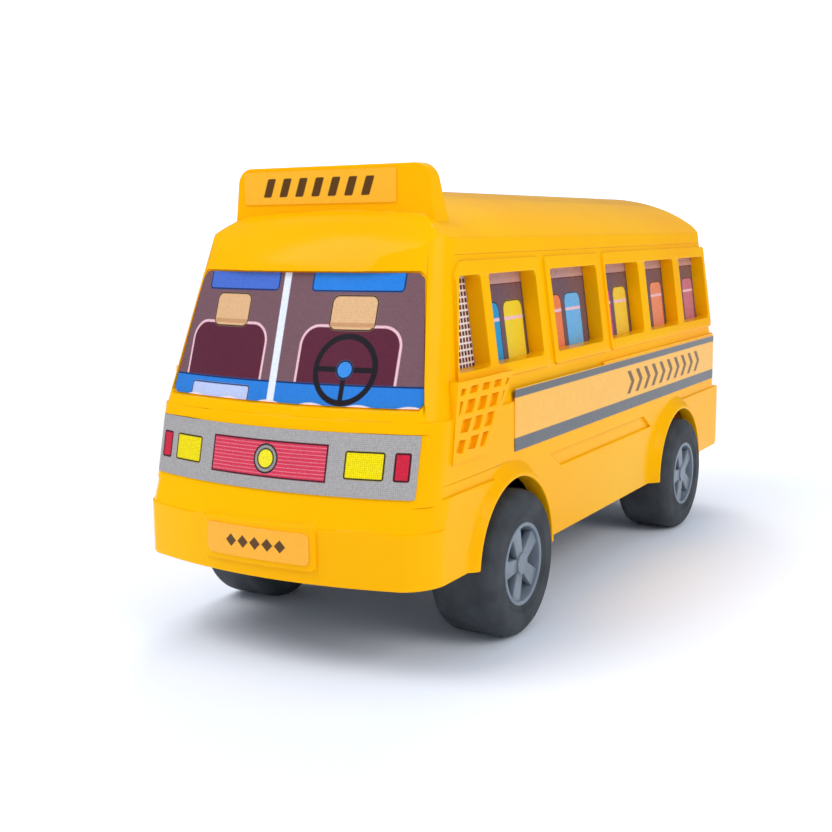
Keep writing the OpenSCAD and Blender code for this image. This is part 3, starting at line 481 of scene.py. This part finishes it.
moulding = bmesh.new()
moulding.from_mesh(nodes["body_shell"].data)
bmesh.ops.remove_doubles(moulding, verts=moulding.verts, dist=tiny_edge)
bmesh.ops.dissolve_degenerate(moulding, dist=tiny_edge, edges=moulding.edges)
bmesh.ops.dissolve_limit(moulding, angle_limit=flat_angle, verts=moulding.verts, edges=moulding.edges)
hard_edges = [edge for edge in moulding.edges
              if edge.calc_face_angle(0) > hard_angle and not beside_stripe(edge)
              and edge.calc_length() > short_edge and steady(edge, least_corner)]
bmesh.ops.bevel(moulding, geom=hard_edges, offset=edge_round, offset_type="OFFSET", affect="EDGES",
                segments=2, profile=0.5, material=-1)
bmesh.ops.triangulate(moulding, faces=[face for face in moulding.faces if len(face.verts) > 4])
shell = new_piece("shell", finish_mesh(moulding, "shell", 50), yellow_plastic, "root", "yellow_plastic",
                  "body_shell")
even = shell.modifiers.new("even_shading", "WEIGHTED_NORMAL")
even.keep_sharp = True
print("shell:", len(hard_edges), "rounded edges,", len(shell.data.polygons), "faces")

# %% [markdown]
# ## Grille sticker
# A strip of silver film across the front carries the grille and the lamps. Its grey is a halftone, so it
# looks speckled close up. The grille is a red panel with pale lines and a round boss, and the lamps are
# outlined panels.

# %% Grille sticker
grille = Print("grille_print", "X", tint(168, 162, 158))
grille_v = 36.6
grille_masks = grille.panel(0, grille_v, 12.2, 3.15, rim=0.28)
grille.lay(tint(214, 58, 82), grille_masks["Inside"])
line_pitch = 0.62
line_v = grille.wrapped(grille.v, -line_pitch / 2, line_pitch / 2)
lines = grille.panel(0, 0, 12.0, 0.03, at=(grille.u, line_v))
grille.lay(tint(238, 150, 160), grille.both(lines["Inside"], grille_masks["Inside"]))
grille.lay(ink_black, grille_masks["Outline"])
boss_rings = ((2.55, ink_black), (2.25, tint(150, 148, 140)), (1.75, ink_black), (1.5, tint(244, 226, 40)))
for radius, ink in boss_rings:
    grille.lay(ink, grille.panel(0, grille_v, radius, radius, radius)["Inside"])
for side in (-1, 1):
    grille.badge(tint(240, 216, 0), ink_black, side * 18.8, grille_v, 3.5, 2.35, 0.5, rim=0.3)
    grille.badge(tint(206, 34, 60), ink_black, side * 25.2, grille_v, 1.35, 2.35, 0.4, rim=0.3)
nodes["grille_sticker"].data.materials.clear()
nodes["grille_sticker"].data.materials.append(grille.finish(0.7, 0.16, 0.55, 40.0, 0.015 * mm, 0.15))
print("grille sticker dressed")

# %% [markdown]
# ## Windscreen card
# Behind the windscreen opening lies a printed card of the cab: two seats with piping, a blue dashboard, a
# steering wheel and sun visors, with a white bar down the middle. The coarse woven halftone is part of the
# print.

# %% Windscreen card
cab = Print("windscreen_art", "X", ink_mauve)
cab_seat_v = 50.0
for seat_u in (-14.2, 12.2):
    cab.badge(ink_maroon, piping_pink, seat_u, cab_seat_v, 9.6, 9.2, 3.6, rim=0.45)
    cab.badge(tint(226, 178, 128), ink_black, seat_u, cab_seat_v + 11.2, 4.4, 3.0, 1.4, rim=0.25)
    cab.lay(tint(204, 150, 104), cab.panel(seat_u, cab_seat_v + 9.2, 4.1, 0.35)["Inside"])
for visor_u, visor_ink in ((-12.6, tint(74, 110, 200)), (12.0, tint(36, 126, 214))):
    cab.badge(visor_ink, ink_navy, visor_u, 66.6, 8.8, 1.9, 0.8, rim=0.28)
cab.badge(tint(42, 124, 208), ink_navy, 0, 44.2, 29, 5.2, 1.6, rim=0.3)
cab.badge(tint(190, 200, 234), ink_navy, -14.2, 46.6, 7.4, 1.7, 0.7, rim=0.25)
wheel_u, wheel_v, wheel_r = 12.2, 51.8, 6.0
cab.lay(ink_black, cab.panel(wheel_u, wheel_v, wheel_r, wheel_r, wheel_r, rim=1.0)["Outline"])
cab.lay(ink_black, cab.panel(wheel_u, wheel_v, wheel_r - 0.6, 0.45)["Inside"])
cab.lay(ink_black, cab.panel(wheel_u, wheel_v - 2.9, 0.45, 2.7)["Inside"])
cab.badge(tint(60, 140, 220), ink_black, wheel_u, wheel_v, 1.6, 1.6, 1.6, rim=0.3)
cab.lay(tint(232, 234, 240), cab.panel(-2.0, 57, 0.75, 14, lean=-0.02)["Inside"])
wave = math_node(cab.tree, "SINE", math_node(cab.tree, "MULTIPLY", cab.u, 0.7))
cut_v = math_node(cab.tree, "MULTIPLY_ADD", wave, 0.35, cab.v)
cab.lay(tint(240, 226, 226), cab.panel(0, 45.4, 30, 0.4, at=(cab.u, cut_v))["Inside"])
nodes["windscreen_print"].data.materials.clear()
nodes["windscreen_print"].data.materials.append(cab.finish(0.62, 0.14, 0.35, 70.0, 0.12 * mm, 0.25))
print("windscreen card dressed")

# %% [markdown]
# ## Side window cards
# One long card runs behind all the windows of a side. In front it shows a wire mesh, then, pane by pane,
# two seat backs in bright colours under a curtain band. Both sides use the same print, because both read
# the same y and z.

# %% Side window cards
side_card = Print("side_window_art", "Y", tint(110, 82, 90))
mesh_end = -52.0
mesh_pitch = 1.15
mesh_area = side_card.panel(mesh_end - 9, 59, 9, 12)["Inside"]
side_card.lay(tint(92, 44, 44), mesh_area)
mesh_u = side_card.wrapped(side_card.u, -mesh_pitch / 2, mesh_pitch / 2)
mesh_v = side_card.wrapped(side_card.v, -mesh_pitch / 2, mesh_pitch / 2)
wire = 0.16
for wires in (side_card.panel(0, 59, wire, 20, at=(mesh_u, side_card.v)),
              side_card.panel(-58, 0, 20, wire, at=(side_card.u, mesh_v))):
    side_card.lay(tint(240, 232, 226), side_card.both(wires["Inside"], mesh_area))

pane_middles = (-40.0, -11.2, 16.5, 41.6, 66.6)
seat_inks = (
    (tint(40, 150, 200), tint(238, 206, 52)), (tint(238, 126, 72), tint(104, 176, 222)),
    (tint(226, 86, 142), tint(240, 198, 66)), (tint(104, 150, 210), tint(232, 140, 108)),
    (tint(200, 192, 100), tint(196, 112, 132)))
seat_apart = 10.0
seat_v = 53.8
for middle, pair in zip(pane_middles, seat_inks):
    for seat_u, ink in zip((middle - seat_apart / 2, middle + seat_apart / 2), pair):
        side_card.badge(ink, ink_black, seat_u, seat_v, 4.2, 8.0, 1.9, rim=0.25)
        side_card.lay(piping_pink, side_card.panel(seat_u, seat_v + 4.6, 4.0, 0.3)["Inside"])
row_middle = (pane_middles[0] + pane_middles[-1]) / 2
side_card.badge(tint(196, 156, 150), ink_maroon, row_middle, 67.0, 66, 2.3, 0.0, rim=0.3)
side_film = side_card.finish(0.6, 0.1, 0.3, 60.0, 0.04 * mm, 0.15)
for name in ("left_window_print", "right_window_print"):
    nodes[name].data.materials.clear()
    nodes[name].data.materials.append(side_film)
print("side window cards dressed")

# %% [markdown]
# ## Rear window card
# The back isn't photographed, so its card is a plain one in the same inks: a row of three seat backs.

# %% Rear window card
back_card = Print("rear_window_art", "X", tint(110, 82, 90))
for seat_u in (-13.0, 0.0, 13.0):
    back_card.badge(ink_maroon, piping_pink, seat_u, 54.0, 5.4, 7.0, 2.4, rim=0.4)
nodes["rear_window_print"].data.materials.clear()
nodes["rear_window_print"].data.materials.append(back_card.finish(0.6, 0.12, 0.3, 60.0, 0.04 * mm, 0.15))
print("rear window card dressed")

# %% [markdown]
# ## Orange stickers
# The side stripe, the sign and the plate are cut from one orange film. They carry plain ornaments in brown:
# chevrons on the stripe, bars on the sign and diamonds on the plate.

# %% Orange stickers
film_orange = tint(250, 184, 70)
stripe = Print("stripe_print", "Y", film_orange)
stripe_low, stripe_high = 34.4, 46.1
for middle, half in ((stripe_high - 0.9, 0.75), (stripe_low + 1.3, 1.25)):
    stripe.lay(tint(94, 98, 104), stripe.panel(16, middle, 70, half)["Inside"])
chevron_pitch = 5.4
chevron_v = 40.6
slant = math_node(stripe.tree, "ABSOLUTE", math_node(stripe.tree, "SUBTRACT", stripe.v, chevron_v))
slanted_u = math_node(stripe.tree, "ADD", stripe.u, slant)
chevron_u = stripe.wrapped(slanted_u, -chevron_pitch / 2, chevron_pitch / 2)
chevrons = stripe.panel(0, chevron_v, 1.05, 2.6, at=(chevron_u, stripe.v))
chevron_run = stripe.panel(39.2, chevron_v, 27, 4)
stripe.lay(tint(112, 76, 30), stripe.both(chevrons["Inside"], chevron_run["Inside"]))
stripe_film = stripe.finish(0.5, 0.03, 0.1, 40.0, 0.004 * mm, 0.1)

sign = Print("sign_print", "X", tint(255, 182, 40))
sign_u, sign_v = -2.6, 83.0
bar_pitch = 3.6
bar_u = sign.wrapped(math_node(sign.tree, "SUBTRACT", sign.u, sign_u), -bar_pitch / 2, bar_pitch / 2)
bars = sign.panel(0, sign_v, 0.9, 1.7, 0.3, lean=0.35, at=(bar_u, sign.v))
bar_run = sign.panel(sign_u, sign_v, bar_pitch * 3.5, 2.6)
sign.lay(ink_brown, sign.both(bars["Inside"], bar_run["Inside"]))
sign_film = sign.finish(0.5, 0.03, 0.12, 40.0, 0.004 * mm, 0.1)

plate = Print("plate_print", "X", tint(255, 178, 48))
plate_v = 22.45
diamond_pitch = 2.6
diamond_u = plate.wrapped(plate.u, -diamond_pitch / 2, diamond_pitch / 2)
turned_u = math_node(plate.tree, "ADD", diamond_u, math_node(plate.tree, "SUBTRACT", plate.v, plate_v))
turned_v = math_node(plate.tree, "SUBTRACT", diamond_u, math_node(plate.tree, "SUBTRACT", plate.v, plate_v))
diamonds = plate.panel(0, 0, 1.15, 1.15, at=(turned_u, turned_v))
diamond_run = plate.panel(0, plate_v, diamond_pitch * 2.5, 2)
plate.lay(ink_brown, plate.both(diamonds["Inside"], diamond_run["Inside"]))
plate_film = plate.finish(0.5, 0.03, 0.12, 40.0, 0.004 * mm, 0.1)

for name, film in (("left_stripe_sticker", stripe_film), ("right_stripe_sticker", stripe_film),
                   ("sign_sticker", sign_film), ("plate_sticker", plate_film)):
    nodes[name].data.materials.clear()
    nodes[name].data.materials.append(film)
print("orange stickers dressed")

# %% [markdown]
# ## Tyres
# A toy tyre is a soft rubber ring with rounded shoulders and a shallow step where it meets the hub. That is
# a turned shape, so a few profile points are enough: the shoulders are bevelled as vertices, and the
# profile is spun.

# %% Tyres
shoulder_r = 2.6 * mm
bead_w = 1.5 * mm
bead_d = 0.5 * mm
turn_steps = 72


def turned(points, rounds, middle, steps=turn_steps):
    """A bmesh spun about the axle through middle from points of (x, radius); rounds are radii by point."""
    shape = bmesh.new()
    outline = [shape.verts.new((x, middle.y, middle.z + radius)) for x, radius in points]
    for first, second in zip(outline, outline[1:]):
        shape.edges.new((first, second))
    for number, radius in rounds.items():
        bmesh.ops.bevel(shape, geom=[outline[number]], offset=radius, offset_type="OFFSET", affect="VERTICES",
                        segments=6, profile=0.5, material=-1)
    bmesh.ops.spin(shape, geom=shape.verts[:] + shape.edges[:], cent=(0, middle.y, middle.z), axis=(1, 0, 0),
                   angle=math.tau, steps=steps, use_merge=True)
    bmesh.ops.remove_doubles(shape, verts=shape.verts, dist=0.005 * mm)
    bmesh.ops.recalc_face_normals(shape, faces=shape.faces)
    return shape


def wheel_sizes(corner):
    """Axle middle, side of the bus, then inner x, outer x and radius of the tyre and of its hub."""
    low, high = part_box(corner + "_tyre")
    hub_low, hub_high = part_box(corner + "_hub")
    side = 1 if high.x > 0 else -1
    middle = Vector((0, (low.y + high.y) / 2, (low.z + high.z) / 2))
    inner, outer = sorted((abs(low.x), abs(high.x)))
    hub_inner, hub_outer = sorted((abs(hub_low.x), abs(hub_high.x)))
    tyre_radius = (high.z - low.z) / 2
    hub_radius = (hub_high.z - hub_low.z) / 2
    return middle, side, inner, outer, tyre_radius, hub_inner, hub_outer, hub_radius


corners = ("front_left", "front_right", "rear_left", "rear_right")
for corner in corners:
    middle, side, inner, outer, radius, hub_inner, hub_outer, hub_r = wheel_sizes(corner)
    profile = [(inner, hub_r), (inner, radius), (outer, radius), (outer, hub_r + bead_w),
               (outer - bead_d, hub_r + bead_w / 2), (outer - bead_d, hub_r), (inner, hub_r)]
    shape = turned([(side * x, r) for x, r in profile], {2: shoulder_r, 1: shoulder_r}, middle)
    axle_body = "front_wheels" if corner.startswith("front") else "rear_wheels"
    new_piece(corner + "_rubber", finish_mesh(shape, corner + "_rubber", 30), tyre_rubber, axle_body,
              "tyre_rubber", corner + "_tyre")
print("tyres spun, radius", round(radius / mm, 2), "mm")

# %% [markdown]
# ## Hubs
# The wheel centres are small grey mouldings: a thin rim, a deep dish and five broad spokes that run to a
# cap. The rim and dish are turned, and one bevelled block, widened at its outer end, is repeated for the
# spokes.

# %% Hubs
rim_w = 0.8 * mm
dish_depth = 4.6 * mm
spoke_drop = 0.5 * mm
spoke_count = 5
spoke_inner_w = 2.4 * mm
spoke_outer_w = 3.8 * mm
spoke_thick = 1.5 * mm
cap_r = 2.5 * mm
nose_r = 3.1 * mm
nose_length = 1.0 * mm


def add_block(shape, low, high, widen, turn, round_by):
    """Adds a bevelled block from low to high, its far y end widened, turned by a matrix."""
    size = high - low
    place = Matrix.Translation((low + high) / 2) @ Matrix.Diagonal((*size, 1))
    made = bmesh.ops.create_cube(shape, size=1.0, matrix=place)
    verts = made["verts"]
    for vert in verts:
        if vert.co.y > (low.y + high.y) / 2:
            vert.co.x *= widen
    edges = list({edge for vert in verts for edge in vert.link_edges})
    rounded = bmesh.ops.bevel(shape, geom=edges, offset=round_by, offset_type="OFFSET", affect="EDGES",
                              segments=2, profile=0.5, material=-1)
    new_verts = {vert for face in rounded["faces"] for vert in face.verts}
    all_verts = list(new_verts | {vert for vert in verts if vert.is_valid})
    bmesh.ops.transform(shape, matrix=turn, verts=all_verts)


for corner in corners:
    middle, side, inner, outer, radius, hub_inner, hub_outer, hub_r = wheel_sizes(corner)
    dish_x = hub_outer - dish_depth
    profile = [(hub_inner, 0), (hub_inner, nose_r), (hub_inner + nose_length, nose_r),
               (hub_inner + nose_length, hub_r), (hub_outer, hub_r), (hub_outer, hub_r - rim_w),
               (dish_x, hub_r - 1.5 * rim_w), (dish_x, 0)]
    shape = turned([(side * x, r) for x, r in profile], {5: 0.25 * mm, 4: 0.2 * mm}, middle, steps=60)
    spoke_low = Vector((-spoke_inner_w / 2, cap_r / 2, hub_outer - spoke_drop - spoke_thick))
    spoke_high = Vector((spoke_inner_w / 2, hub_r - rim_w / 2, hub_outer - spoke_drop))
    to_axle = Matrix.Translation(middle) @ Matrix.Rotation(side * math.pi / 2, 4, "Y")
    for number in range(spoke_count):
        spin = Matrix.Rotation(math.pi + number * math.tau / spoke_count, 4, "Z")
        add_block(shape, spoke_low, spoke_high, spoke_outer_w / spoke_inner_w, to_axle @ spin, 0.3 * mm)
    cap_place = Matrix.Translation((0, 0, hub_outer - dish_depth / 2 - spoke_drop / 2))
    bmesh.ops.create_cone(shape, cap_ends=True, segments=40, radius1=cap_r, radius2=cap_r * 0.8,
                          depth=dish_depth, matrix=to_axle @ cap_place)
    axle_body = "front_wheels" if corner.startswith("front") else "rear_wheels"
    new_piece(corner + "_wheel_centre", finish_mesh(shape, corner + "_wheel_centre", 35), hub_plastic,
              axle_body, "hub_plastic", corner + "_hub")
print("hubs with", spoke_count, "spokes")

# %% [markdown]
# ## Under the floor
# The chassis, its screws, the axles and the friction drive are plain turned and moulded pieces whose solids
# already have the right shape, so they keep them and only get their materials.

# %% Chassis and drive
finishes = {
    black_plastic: ("chassis_plate", "motor_case_left", "motor_case_right"),
    steel: ("front_axle", "rear_axle", "counter_shaft", "flywheel_shaft", "chassis_screws",
            "motor_case_screws", "motor_mount_screws"),
    gear_plastic: ("axle_gear", "counter_gear", "flywheel_pinion"),
    flywheel_iron: ("flywheel",),
}
for material, names in finishes.items():
    for name in names:
        nodes[name].data.materials.clear()
        nodes[name].data.materials.append(material)
print("dressed", sum(len(names) for names in finishes.values()), "inner pieces")
